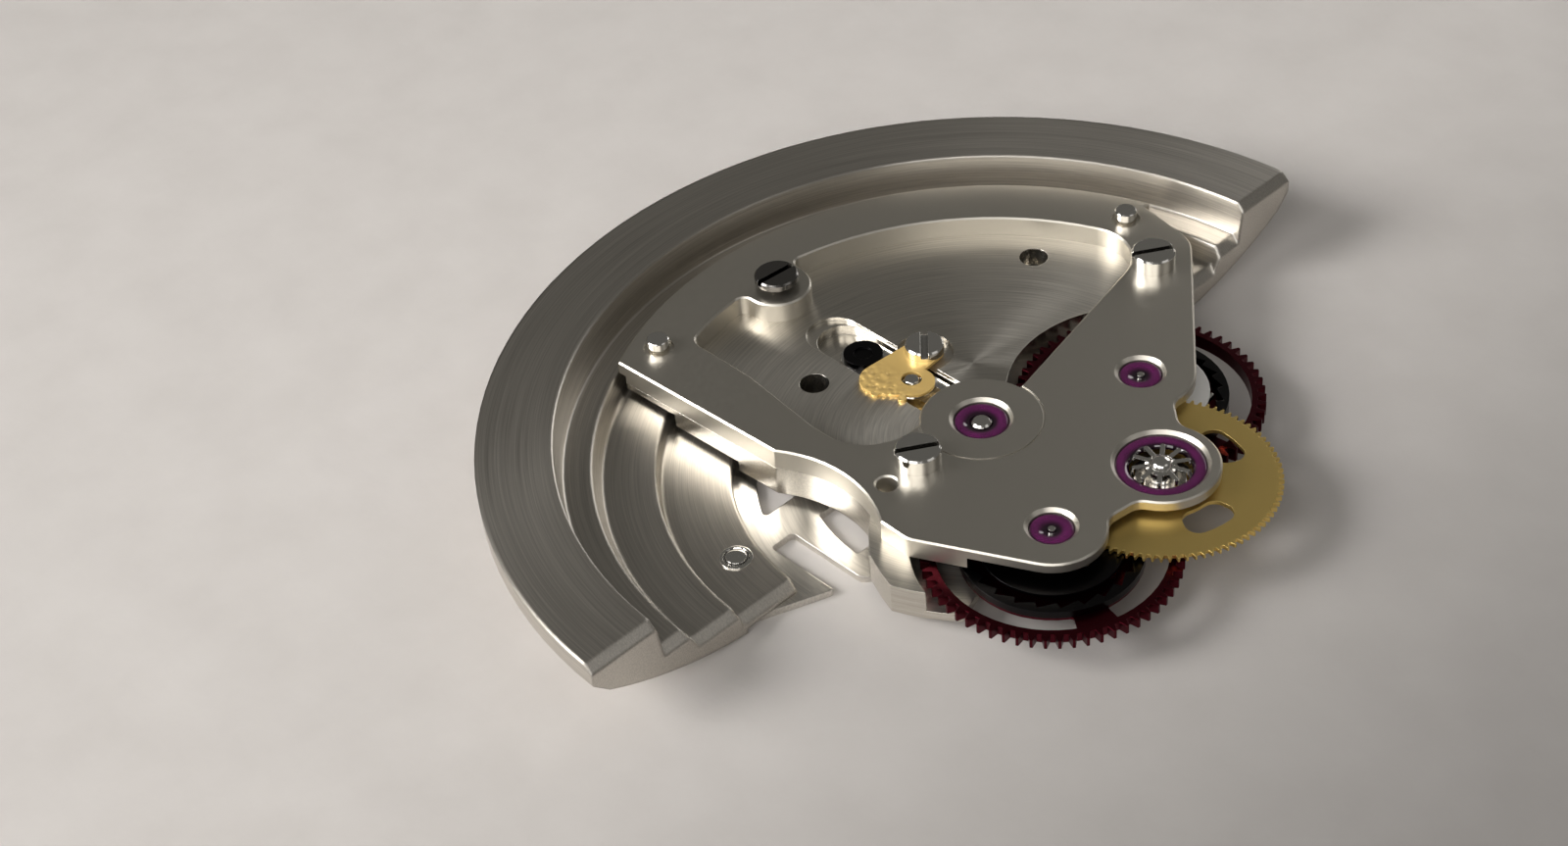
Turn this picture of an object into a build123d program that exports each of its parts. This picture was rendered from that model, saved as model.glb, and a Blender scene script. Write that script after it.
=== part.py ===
from build123d import *
from math import atan2, cos, degrees, hypot, radians, sin, sqrt
import os

# Automatic watch rotor with its winding module, lying on the rotor's back, in millimetres.
# The origin is on the rotor axis, in the plane that the back rests on.
# +Z is the movement side, and +Y runs along the middle of the half-round weight.

# Rotor weight: a turned half ring with steps on its inner side
rotor_r = 14.0
rim_inner_share = 0.8464
ledge_outer_share = 0.8357
ledge_inner_share = 0.7786
shelf_outer_share = 0.7607
shelf_inner_share = 0.6536
land_outer_share = 0.6464
land_inner_share = 0.5036
end_offset = 0.25
end_bevel = 0.27
outer_wall = 0.62
back_shoulder = 0.48
back_sag = 0.25
back_edge_z = 0.06

# Rotor heights, from the back upwards
web_thickness = 0.22
land_height = 0.38
shelf_step = 0.40
ledge_step = 0.52
plateau_step = 1.08

# Rotor web, its hub and its rivets
web_seat = 0.20
web_play = 0.02
web_end_share = 0.0678
web_tip_shares = (-0.7209, -0.0407)
notch_shares = (-0.7119, 0.2316)
notch_width = 0.82
notch_fillet = 0.15
arm_low_share = -0.0904
arm_fillet = 0.35
small_window_shares = (0.2938, 0.5537)
small_window_low_share = 0.0113
small_window_high_share = 0.2260
big_window_shares = (0.5424, 0.7209)
big_window_low_share = 0.3469
middle_spoke_share = 0.2260
window_fillet = 0.12
hub_share = 0.2260
hub_seat_r = 1.0
rivet_ring = 0.72
rivet_r = 0.30
rivet_dome_r = 0.46
rivet_dome = 0.11
rivet_sink_r = 0.45
rivet_sink = 0.10
rivet_spread = 74.0
rivet_middle = 90.0
rivet_count = 3

# Rotor axle, from the web to its pivot
axle_r = 0.50
axle_neck_r = 0.32
axle_pivot_r = 0.29
flange_r = 1.30
flange_thickness = 0.12
collar_r = 0.60
collar_end_gap = 0.12
pivot_chamfer = 0.06

# Air between the rotor and the module that stands in it
web_gap = 0.23
air_gap = 0.18
rotor_gap = 0.08
lip_gap = 0.10

# Module plates, with their places as shares of the plate radius
plate_gap = 0.75
base_thickness = 0.27
bridge_thickness = 0.635
bridge_skin = 0.30
edge_chamfer = 0.05
wing_shares = [(-0.4653, 1.0), (-0.4306, 0.3063), (-0.4414, -0.1550)]
plate_arc_share = 0.9780
plate_arc_shares = (0.0260, 0.0096)
recess_share = 0.8450
boss_share = 0.1550
boss_groove = 0.03
foot_gap = 0.42
pocket_share = 0.2162
base_centre_share = 0.1712
base_lobe_share = 0.1532
base_strip_share = 0.0721
base_sector_start = 130.0
base_sector_end = 232.0

# Wheel train
reverser_1_share = 0.4365
reverser_2_share = 0.43245
driving_share = 0.34882
wheel_teeth = 60
rotor_gear_teeth = 25
driving_teeth = 90
pinion_teeth = 18
output_leaves = 10
reverser_1_angle = -24.3
wheel_gap = 0.06
drive_overlap = 0.15
pass_gap = 0.05
mesh_overlap = 0.22
carrier_gap = 0.03
carrier_thickness = 0.08
driving_lift = 0.03
driving_thickness = 0.12
cavity_play = 0.26
gear_cavity_play = 0.21
driving_clearance = 0.17
kidney_inner_share = 0.4959
kidney_outer_share = 0.7748
kidney_sweep = 40.0
kidney_turn = -13.0
kidney_fillet = 0.38
kidney_count = 4
output_tip_share = 0.632
output_root_share = 0.376
output_height = 0.10
arbor_r = 0.26
lower_arbor_r = 0.18

# Reverser parts, with their radii as shares of the wheel's pitch radius
wheel_inner_share = 0.9123
ratchet_outer_share = 0.7281
ratchet_root_share = 0.6842
ratchet_tip_share = 0.6257
ratchet_teeth = 24
spoke_angle = 22.0
spoke_count = 3
spoke_1_turn = 25.0
spoke_2_turn = 5.5
window_round_share = 0.0293
wheel_floor = 0.07
staff_r = 0.30
staff_collar_r = 0.42
staff_pivot_r = 0.10
carrier_share = 0.5702
pawl_pivot_share = 0.3363
pawl_belly_share = 0.4240
pawl_tip_share = 0.5848
pawl_root_share = 0.1053
pawl_pin_r = 0.12
pawl_nose_r = 0.05
pawl_belly_sweep = 20.0
pawl_sweep = 38.0
pawl_thickness = 0.14
pin_head = 0.03
pin_head_rim = 0.05

# Fits
running_play = 0.03
pivot_play = 0.02
screw_play = 0.02
side_play = 0.08

# Jewels
centre_jewel_r = 0.79
wheel_jewel_r = 0.625
ring_jewel_share = 0.11262
base_jewel_r = 0.45
base_centre_jewel_r = 0.90
jewel_sink = 0.10
jewel_thickness = 0.19
jewel_edge = 0.06
base_jewel_inset = 0.03
base_jewel_thickness = 0.20

# Screws, pins and holes
bridge_screw_r = 0.645
bridge_screw_head = 0.50
shoulder_screw_r = 0.66
shoulder_screw_head = 0.22
shoulder_screw_lift = 0.20
clip_screw_r = 0.575
clip_screw_head = 0.28
clip_slot_width = 0.22
thread_r = 0.28
thread_length = 1.05
slot_width = 0.18
slot_depth = 0.16
steady_pin_r = 0.33
steady_pin_stem_r = 0.16
steady_pin_height = 0.34
steady_pin_sink_rim = 0.12
steady_pin_sink = 0.09
steady_pin_edge = 0.03
mount_hole_r = 0.43
small_hole_r = 0.30

# Bolt that locks the rotor axle, its button, and the clip over it
bolt_slot_share = 0.0450
bolt_slot_width_share = 0.1369
bolt_slot_end_share = 0.6081
bolt_ledge_share = 0.0414
bolt_ledge_width_share = 0.1477
bolt_ledge_end_share = 0.6424
bolt_ledge_depth = 0.12
bolt_thickness = 0.22
bolt_play = 0.02
bolt_travel = 0.80
bolt_end_play = 0.10
bolt_fork_width = 1.50
bolt_fork_low_y = -0.42
bolt_fork_high_y = 0.72
bolt_fork_play = 0.05
bolt_fillet = 0.15
bolt_window_share = 0.0324
bolt_window_low_share = 0.1261
bolt_window_high_share = 0.2838
button_shares = (0.0387, 0.4577)
button_r = 0.58
button_height = 0.19
button_ring_r = 0.28
button_sink = 0.05
clip_thickness = 0.09
clip_pin_shares = (0.0378, 0.2802)
clip_pin_r = 0.215
clip_hole_r = 0.30
clip_pin_root = 0.22
clip_sink_depth = 0.15
clip_sink_rim = 0.28
clip_left_shares = (-0.0090, 0.3352)
clip_left_share = 0.0631
clip_low_shares = (0.0324, 0.2685)
clip_low_share = 0.0559
clip_end_share = 0.0505
clip_feet_shares = [(-0.0640, 0.3110), (-0.0333, 0.2450)]
clip_foot_share = 0.0117
clip_edge = 0.02

# Places on the plates, as shares of the plate radius along the drawing grid of the module
shoulder_screw_shares = (0.0454, 0.7846)
bridge_screw_shares = [(0.7648, 0.0858), (-0.2217, 0.0047)]
steady_pin_shares = [(0.8721, 0.2721), (-0.3468, 0.8243)]
mount_hole_shares = [(0.6369, 0.3973), (-0.1351, 0.4631)]
small_hole_shares = (-0.3324, 0.0045)
clip_screw_shares = (0.1441, 0.3360)
foot_shares = [(-0.3874, 0.0090), (-0.4414, -0.0360), (-0.4973, -0.0937), (-0.5252, -0.1595),
               (-0.5495, -0.2342), (-0.5135, -0.3784), (-0.2883, -0.3063)]

# Radii of the rotor's steps, from the outside in
rim_inner_r = rotor_r * rim_inner_share
ledge_outer_r = rotor_r * ledge_outer_share
ledge_inner_r = rotor_r * ledge_inner_share
shelf_outer_r = rotor_r * shelf_outer_share
shelf_inner_r = rotor_r * shelf_inner_share
land_outer_r = rotor_r * land_outer_share
land_inner_r = rotor_r * land_inner_share
web_r = land_outer_r - web_seat
hub_r = web_r * hub_share
rivet_circle_r = land_inner_r + rivet_ring

# Heights of the rotor's steps
land_z = web_thickness + land_height
shelf_z = land_z + shelf_step
ledge_z = shelf_z + ledge_step
rim_top = ledge_z + plateau_step

# Heights of the module
base_z = web_thickness + web_gap
cavity_z = base_z + base_thickness
wheel_1_z = cavity_z + wheel_gap
gear_top = wheel_1_z + drive_overlap
wheel_2_z = gear_top + pass_gap
wheel_1_top = wheel_2_z + mesh_overlap
wheel_2_top = wheel_1_top + wheel_gap
carrier_z = wheel_2_top + carrier_gap
carrier_top = carrier_z + carrier_thickness
floor_z = carrier_top + wheel_gap / 6
driving_z = floor_z + driving_lift
driving_top = driving_z + driving_thickness
bridge_top = floor_z + bridge_thickness
pocket_z = bridge_top - bridge_skin
jewel_top = bridge_top - jewel_sink
jewel_z = jewel_top - jewel_thickness
pinion_top = pocket_z - wheel_gap
gear_floor_z = base_z + base_jewel_inset + base_jewel_thickness - running_play
gear_z = gear_floor_z + wheel_gap
land_under_z = land_z + air_gap
shelf_under_z = shelf_z + air_gap
lip_z = ledge_z + lip_gap
body_r = shelf_outer_r - rotor_gap
waist_r = land_outer_r - web_seat
core_r = land_inner_r - web_seat
foot_r = core_r - foot_gap
plate_r = rim_inner_r - plate_gap
recess_r = plate_r * recess_share
boss_r = plate_r * boss_share
ring_jewel_r = plate_r * ring_jewel_share
output_tip_r = ring_jewel_r * output_tip_share
output_root_r = ring_jewel_r * output_root_share

# Tooth sizes, tooth circles and wheel centres
reverser_1_reach = plate_r * reverser_1_share
reverser_2_reach = plate_r * reverser_2_share
driving_centres = plate_r * driving_share
tooth_module = reverser_1_reach * 2 / (wheel_teeth + rotor_gear_teeth)
fine_module = driving_centres * 2 / (driving_teeth + pinion_teeth)
wheel_pitch_r = tooth_module * wheel_teeth / 2
gear_pitch_r = tooth_module * rotor_gear_teeth / 2
driving_pitch_r = fine_module * driving_teeth / 2
pinion_pitch_r = fine_module * pinion_teeth / 2
wheel_centres = 2 * wheel_pitch_r
lever_cos = (reverser_1_reach**2 + reverser_2_reach**2 - wheel_centres**2) / (
    2 * reverser_1_reach * reverser_2_reach)
reverser_2_angle = reverser_1_angle - degrees(atan2(sqrt(1 - lever_cos**2), lever_cos))


def polar(radius, angle, centre=(0, 0)):
    """The point at a radius and an angle from a centre."""
    return (centre[0] + radius * cos(radians(angle)), centre[1] + radius * sin(radians(angle)))


def on_plate(shares):
    """The place on the plates for two shares of their radius."""
    return (plate_r * shares[0], plate_r * shares[1])


shoulder_screw_spot = on_plate(shoulder_screw_shares)
bridge_screw_spots = [on_plate(shares) for shares in bridge_screw_shares]
steady_pin_spots = [on_plate(shares) for shares in steady_pin_shares]
mount_hole_spots = [on_plate(shares) for shares in mount_hole_shares]
small_hole_spot = on_plate(small_hole_shares)
clip_screw_spot = on_plate(clip_screw_shares)
clip_pin_spot = on_plate(clip_pin_shares)
button_spot = on_plate(button_shares)
reverser_1 = polar(reverser_1_reach, reverser_1_angle)
reverser_2 = polar(reverser_2_reach, reverser_2_angle)
line_angle = degrees(atan2(reverser_1[1] - reverser_2[1], reverser_1[0] - reverser_2[0]))
middle = ((reverser_1[0] + reverser_2[0]) / 2, (reverser_1[1] + reverser_2[1]) / 2)
driving_drop = sqrt(driving_centres**2 - wheel_pitch_r**2)
driving = polar(driving_drop, line_angle - 90, middle)
wheel_tip_r = wheel_pitch_r + tooth_module * 0.88
cavity_r = wheel_tip_r + cavity_play
gear_cavity_r = gear_pitch_r + tooth_module + gear_cavity_play


def hull_of(*rounds):
    """The outline round some circles, each given as a centre and a radius."""
    with BuildSketch() as run:
        for centre, radius in rounds:
            with Locations(centre):
                Circle(radius)
        make_hull()
    return run.sketch


def ring_sector(inner_r, outer_r, start, sweep):
    """A piece of a flat ring between two angles."""
    with BuildSketch() as sector:
        with BuildLine():
            inner = CenterArc((0, 0), inner_r, start, sweep)
            outer = CenterArc((0, 0), outer_r, start, sweep)
            Line(inner @ 0, outer @ 0)
            Line(inner @ 1, outer @ 1)
        make_face()
    return sector.sketch


def tooth_points(teeth, root_r, tip_r, root_share, tip_share, phase, centre):
    """The corners of straight-sided teeth, with the first tooth centred on the phase angle."""
    pitch = 360 / teeth
    points = []
    for tooth in range(teeth):
        angle = phase + tooth * pitch
        points.append(polar(root_r, angle - root_share * pitch / 2, centre))
        points.append(polar(tip_r, angle - tip_share * pitch / 2, centre))
        points.append(polar(tip_r, angle + tip_share * pitch / 2, centre))
        points.append(polar(root_r, angle + root_share * pitch / 2, centre))
    return points


def saw_points(teeth, root_r, tip_r, centre):
    """The corners of a ring of saw teeth that point inwards."""
    pitch = 360 / teeth
    points = []
    for tooth in range(teeth):
        points.append(polar(tip_r, tooth * pitch, centre))
        points.append(polar(root_r, (tooth + 0.15) * pitch, centre))
    return points


def toothed_face(points):
    """A flat toothed disc with the given corners."""
    with BuildSketch() as disc:
        with BuildLine():
            Polyline(*points, close=True)
        make_face()
    return disc.sketch


def finish(part, name):
    """Label a finished piece and write its file."""
    part.label = name
    export_step(part, f"parts/{name}.step")


# Outline of the two plates: the lobes round the jewels, the shoulder, the wing and the arc arm
lobe_1_share = 0.1396
lobe_2_share = 0.1351
lobe_3_share = 0.1477
rib_share = 0.0649
rib_fillet_share = 0.0450
shoulder_shares = (0.8063, 0.1387)
shoulder_share = 0.1171
tip_shares = (0.9054, 0.2703)
tip_share = 0.0450
foot_spot_shares = (-0.3847, -0.1550)
foot_corner_share = 0.0568
scallop_shares = (-0.7180, 0.1171)
scallop_share = 0.3405
lobe_1_r = plate_r * lobe_1_share
lobe_2_r = plate_r * lobe_2_share
lobe_3_r = plate_r * lobe_3_share
rib_r = plate_r * rib_share
shoulder_r = plate_r * shoulder_share
tip_r = plate_r * tip_share
shoulder_spot = on_plate(shoulder_shares)
tip_spot = on_plate(tip_shares)
foot_spot = on_plate(foot_spot_shares)

with BuildSketch() as plate_plan:
    with BuildLine():
        Polyline(*[on_plate(shares) for shares in wing_shares], foot_spot, reverser_2, middle,
                 reverser_1, shoulder_spot, tip_spot, (plate_r, tip_spot[1]), (plate_r, plate_r),
                 close=True)
    make_face()
    add(hull_of((foot_spot, plate_r * foot_corner_share), (reverser_2, lobe_2_r)))
    add(hull_of((reverser_2, rib_r), (driving, rib_r), (reverser_1, rib_r)))
    add(hull_of((reverser_1, lobe_1_r), (shoulder_spot, shoulder_r)))
    add(hull_of((shoulder_spot, shoulder_r), (tip_spot, tip_r)))
    with Locations(driving):
        Circle(lobe_3_r)
    with Locations(on_plate(scallop_shares)):
        Circle(plate_r * scallop_share, mode=Mode.SUBTRACT)
    with Locations(on_plate(plate_arc_shares)):
        Circle(plate_r * plate_arc_share, mode=Mode.INTERSECT)
    lobe_gaps = [v for v in plate_plan.vertices() if v.Y < reverser_1[1] - lobe_1_r / 2
                 and v.X > reverser_2[0]]
    fillet(lobe_gaps, radius=plate_r * rib_fillet_share)

# Outline of the recess that the bridge leaves open over the framework
recess_corner_share = 0.1351
recess_small_share = 0.0405
recess_left_share = 0.1441
recess_left_arc_share = 0.8234
recess_left_shares = (-0.2991, 0.0991)
recess_shares = [(-0.2703, 1.0), (-0.2685, 0.5586), (-0.2991, 0.2973), (-0.2991, 0.0991),
                 (-0.1081, 0.0991), (0.0, 0.0), (0.1757, 0.0117), (0.8450, 0.1532), (0.8450, 1.0)]
screw_boss_share = 0.0919
boss_fillet_share = 0.0270
screw_boss_r = plate_r * screw_boss_share
recess_left_arc_r = plate_r * recess_left_arc_share

with BuildSketch() as recess_plan:
    Circle(recess_r)
    with BuildLine():
        Polyline(*[on_plate(shares) for shares in recess_shares], close=True)
    make_face(mode=Mode.INTERSECT)
    with BuildSketch(mode=Mode.SUBTRACT):
        with Locations((-recess_r / 2, recess_r / 2)):
            Rectangle(recess_r, recess_r * 2)
        Circle(recess_left_arc_r, mode=Mode.SUBTRACT)
    left_low = recess_plan.vertices().sort_by_distance((*on_plate(recess_left_shares), 0))[0]
    fillet(left_low, radius=plate_r * recess_left_share)
    fillet(recess_plan.vertices().sort_by(Axis.X)[-1], radius=plate_r * recess_corner_share)
    left_high = (plate_r * recess_shares[0][0], recess_left_arc_r, 0)
    fillet(recess_plan.vertices().sort_by_distance(left_high)[0], radius=plate_r * recess_small_share)
    Circle(boss_r, mode=Mode.SUBTRACT)
    boss_angle = degrees(atan2(shoulder_screw_spot[1], shoulder_screw_spot[0]))
    boss_root = polar(recess_r + screw_boss_r, boss_angle)
    add(hull_of((shoulder_screw_spot, screw_boss_r), (boss_root, screw_boss_r)), mode=Mode.SUBTRACT)
    boss_corners = recess_plan.vertices().sort_by_distance((*polar(recess_r, boss_angle), 0))[:2]
    fillet(boss_corners, radius=plate_r * boss_fillet_share)

# Plan of the framework: the same outline with the foot at its lower left
with BuildSketch() as foot_plan:
    with BuildLine():
        Polyline(*[on_plate(shares) for shares in foot_shares], close=True)
    make_face()
    Circle(foot_r, mode=Mode.INTERSECT)

with BuildSketch() as frame_plan:
    add(plate_plan.sketch)
    add(foot_plan.sketch)
    Circle(body_r, mode=Mode.INTERSECT)

# Plan of the thin floor that carries the lower jewels
base_centre_r = plate_r * base_centre_share
base_lobe_r = plate_r * base_lobe_share
base_strip_r = plate_r * base_strip_share
with BuildSketch() as floor_plan:
    add(hull_of(((0, 0), base_centre_r), (reverser_1, base_strip_r)))
    add(hull_of(((0, 0), base_centre_r), (reverser_2, base_strip_r)))
    add(hull_of((reverser_1, base_strip_r), (driving, base_strip_r)))
    add(hull_of((reverser_2, base_strip_r), (driving, base_strip_r)))
    with Locations(reverser_1, reverser_2):
        Circle(base_lobe_r)
    with BuildLine():
        Polyline(reverser_2, polar(plate_r, base_sector_start, reverser_2),
                 polar(plate_r, base_sector_end, reverser_2), close=True)
    make_face()
    Circle(foot_r, mode=Mode.INTERSECT)

os.makedirs("parts", exist_ok=True)

# Weight: half a turned ring, stepped on the inner side
shoulder_corner_r = rotor_r - back_shoulder
outer_wall_z = rim_top - outer_wall
shoulder_z = outer_wall_z - back_shoulder
seat_r = web_r + web_play
dome_r = (shoulder_corner_r + seat_r) / 2
dome_z = (shoulder_z + back_edge_z) / 2 - back_sag
with BuildPart() as weight_rim:
    with BuildSketch(Plane.XZ):
        with BuildLine():
            Polyline((seat_r, back_edge_z), (seat_r, web_thickness), (land_inner_r, web_thickness),
                     (land_inner_r, land_z), (land_outer_r, land_z), (shelf_inner_r, shelf_z),
                     (shelf_outer_r, shelf_z), (ledge_inner_r, ledge_z), (ledge_outer_r, ledge_z),
                     (rim_inner_r, rim_top), (rotor_r, rim_top), (rotor_r, outer_wall_z),
                     (shoulder_corner_r, shoulder_z))
            ThreePointArc((shoulder_corner_r, shoulder_z), (dome_r, dome_z), (seat_r, back_edge_z))
        make_face()
    revolve(axis=Axis.Z)
    with Locations((0, end_offset - rotor_r, rim_top / 2)):
        Box(rotor_r * 3, rotor_r * 2, rim_top * 2, mode=Mode.SUBTRACT)
    # Each step is bevelled where the half ring ends
    for step_z in (land_z, shelf_z, ledge_z, rim_top):
        on_step = weight_rim.edges().filter_by(Axis.X).filter_by_position(
            Axis.Z, step_z - end_bevel / 2, step_z + end_bevel / 2)
        chamfer(on_step, length=end_bevel)
    rivet_start = rivet_middle - rivet_spread * (rivet_count - 1) / 2
    rivet_end = rivet_middle + rivet_spread * (rivet_count - 1) / 2
    with Locations((0, 0, web_thickness)):
        with PolarLocations(rivet_circle_r, rivet_count, start_angle=rivet_start,
                            angular_range=rivet_end - rivet_start, endpoint=True):
            Cylinder(rivet_r, rim_top, mode=Mode.SUBTRACT)
finish(weight_rim.part, "weight_rim")

# Web: the thin sheet in the middle of the rotor, with its windows
web_tip = (web_r * web_tip_shares[0], web_r * web_tip_shares[1])
notch_corner = (web_r * notch_shares[0], web_r * notch_shares[1])
arm_low_y = web_r * arm_low_share
left_side = [(-web_r, web_r), (-web_r, web_r * web_end_share), web_tip, (notch_corner[0], web_tip[1]),
             notch_corner, (notch_corner[0] + notch_width, notch_corner[1]),
             (notch_corner[0] + notch_width, arm_low_y)]
right_side = [(-x, y) for x, y in reversed(left_side)]
with BuildSketch() as web_plan:
    Circle(web_r)
    with BuildLine():
        Polyline(*left_side, *right_side, close=True)
    make_face(mode=Mode.INTERSECT)
    notch_tops = web_plan.vertices().filter_by(lambda v: abs(v.Y - notch_corner[1]) < window_fillet)
    fillet(notch_tops, radius=notch_fillet)
    arm_ends = web_plan.vertices().filter_by(lambda v: abs(v.Y - arm_low_y) < window_fillet)
    fillet(arm_ends, radius=arm_fillet)
    Circle(hub_r)

small_window_low_y = web_r * small_window_low_share
small_window_high_y = web_r * small_window_high_share
with BuildSketch() as small_windows:
    Circle(web_r * small_window_shares[1])
    Circle(web_r * small_window_shares[0], mode=Mode.SUBTRACT)
    with Locations((0, (small_window_low_y + small_window_high_y) / 2)):
        Rectangle(web_r * 2, small_window_high_y - small_window_low_y, mode=Mode.INTERSECT)
    fillet(small_windows.vertices(), radius=window_fillet)

with BuildSketch() as big_windows:
    Circle(web_r * big_window_shares[1])
    Circle(web_r * big_window_shares[0], mode=Mode.SUBTRACT)
    with Locations((0, web_r * big_window_low_share + web_r / 2)):
        Rectangle(web_r * 2, web_r, mode=Mode.INTERSECT)
        Rectangle(web_r * middle_spoke_share, web_r * 2, mode=Mode.SUBTRACT)
    fillet(big_windows.vertices(), radius=window_fillet)

with BuildPart() as rotor_web:
    with BuildSketch():
        add(web_plan.sketch)
        add(small_windows.sketch, mode=Mode.SUBTRACT)
        add(big_windows.sketch, mode=Mode.SUBTRACT)
        Circle(hub_seat_r, mode=Mode.SUBTRACT)
        with PolarLocations(rivet_circle_r, rivet_count, start_angle=rivet_start,
                            angular_range=rivet_end - rivet_start, endpoint=True):
            Circle(rivet_r, mode=Mode.SUBTRACT)
    extrude(amount=web_thickness)
    with PolarLocations(rivet_circle_r, rivet_count, start_angle=rivet_start,
                        angular_range=rivet_end - rivet_start, endpoint=True):
        Cone(rivet_sink_r, rivet_r, rivet_sink, align=(Align.CENTER, Align.CENTER, Align.MIN),
             mode=Mode.SUBTRACT)
finish(rotor_web.part, "rotor_web")

# Rivets: turned pins with a sunk foot and a domed head
with BuildPart() as one_rivet:
    with BuildSketch(Plane.XZ):
        with BuildLine():
            Polyline((0, 0), (rivet_sink_r, 0), (rivet_r, rivet_sink), (rivet_r, land_z),
                     (rivet_dome_r, land_z), (rivet_dome_r, land_z + rivet_dome / 2),
                     (rivet_dome_r / 2, land_z + rivet_dome), (0, land_z + rivet_dome), close=True)
        make_face()
    revolve(axis=Axis.Z)
with BuildPart() as rotor_rivets:
    with PolarLocations(rivet_circle_r, rivet_count, start_angle=rivet_start,
                        angular_range=rivet_end - rivet_start, endpoint=True):
        add(one_rivet.part)
finish(rotor_rivets.part, "rotor_rivets")

# Axle: riveted in the web, turning in one jewel of each plate
bolt_z = gear_top + bolt_play
bolt_top = bolt_z + bolt_thickness
collar_z = bolt_top + bolt_play
collar_top = jewel_z - collar_end_gap
flange_top = web_thickness + flange_thickness
with BuildPart() as rotor_axle:
    with BuildSketch(Plane.XZ):
        with BuildLine():
            Polyline((0, 0), (hub_seat_r, 0), (hub_seat_r, web_thickness), (flange_r, web_thickness),
                     (flange_r, flange_top), (axle_r, flange_top), (axle_r, gear_top),
                     (axle_neck_r, gear_top), (axle_neck_r, collar_z), (collar_r, collar_z),
                     (collar_r, collar_top), (axle_pivot_r, collar_top),
                     (axle_pivot_r, jewel_top - pivot_chamfer),
                     (axle_pivot_r - pivot_chamfer, jewel_top), (0, jewel_top), close=True)
        make_face()
    revolve(axis=Axis.Z)
finish(rotor_axle.part, "rotor_axle")


def mesh_phase(phase, teeth, direction, other_teeth):
    """The phase of a gear whose gap takes the tooth of its neighbour."""
    share = ((direction - phase) * teeth / 360) % 1
    return direction + 180 - 360 / other_teeth * (0.5 - share)


def heading(start, end):
    """The direction from one centre to another, in degrees."""
    return degrees(atan2(end[1] - start[1], end[0] - start[0]))


tooth_root_share = 0.62
tooth_tip_share = 0.20
tooth_top = 0.88
tooth_foot = 1.15
gear_phase = 0.0
wheel_1_phase = mesh_phase(gear_phase, rotor_gear_teeth, reverser_1_angle, wheel_teeth)
wheel_2_phase = mesh_phase(wheel_1_phase, wheel_teeth, heading(reverser_1, reverser_2), wheel_teeth)
driving_phase = 0.0
pinion_1_phase = mesh_phase(driving_phase, driving_teeth, heading(driving, reverser_1), pinion_teeth)
pinion_2_phase = mesh_phase(driving_phase, driving_teeth, heading(driving, reverser_2), pinion_teeth)


def gear_points(teeth, size, phase, centre):
    """The corners of a gear with teeth of a given size."""
    pitch_r = size * teeth / 2
    return tooth_points(teeth, pitch_r - size * tooth_foot, pitch_r + size * tooth_top,
                        tooth_root_share, tooth_tip_share, phase, centre)


# Rotor gear, pressed on the axle
with BuildPart() as rotor_gear:
    with BuildSketch(Plane.XY.offset(gear_z)):
        add(toothed_face(gear_points(rotor_gear_teeth, tooth_module, gear_phase, (0, 0))))
        Circle(axle_r, mode=Mode.SUBTRACT)
    extrude(amount=gear_top - gear_z)
finish(rotor_gear.part, "rotor_gear")

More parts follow.
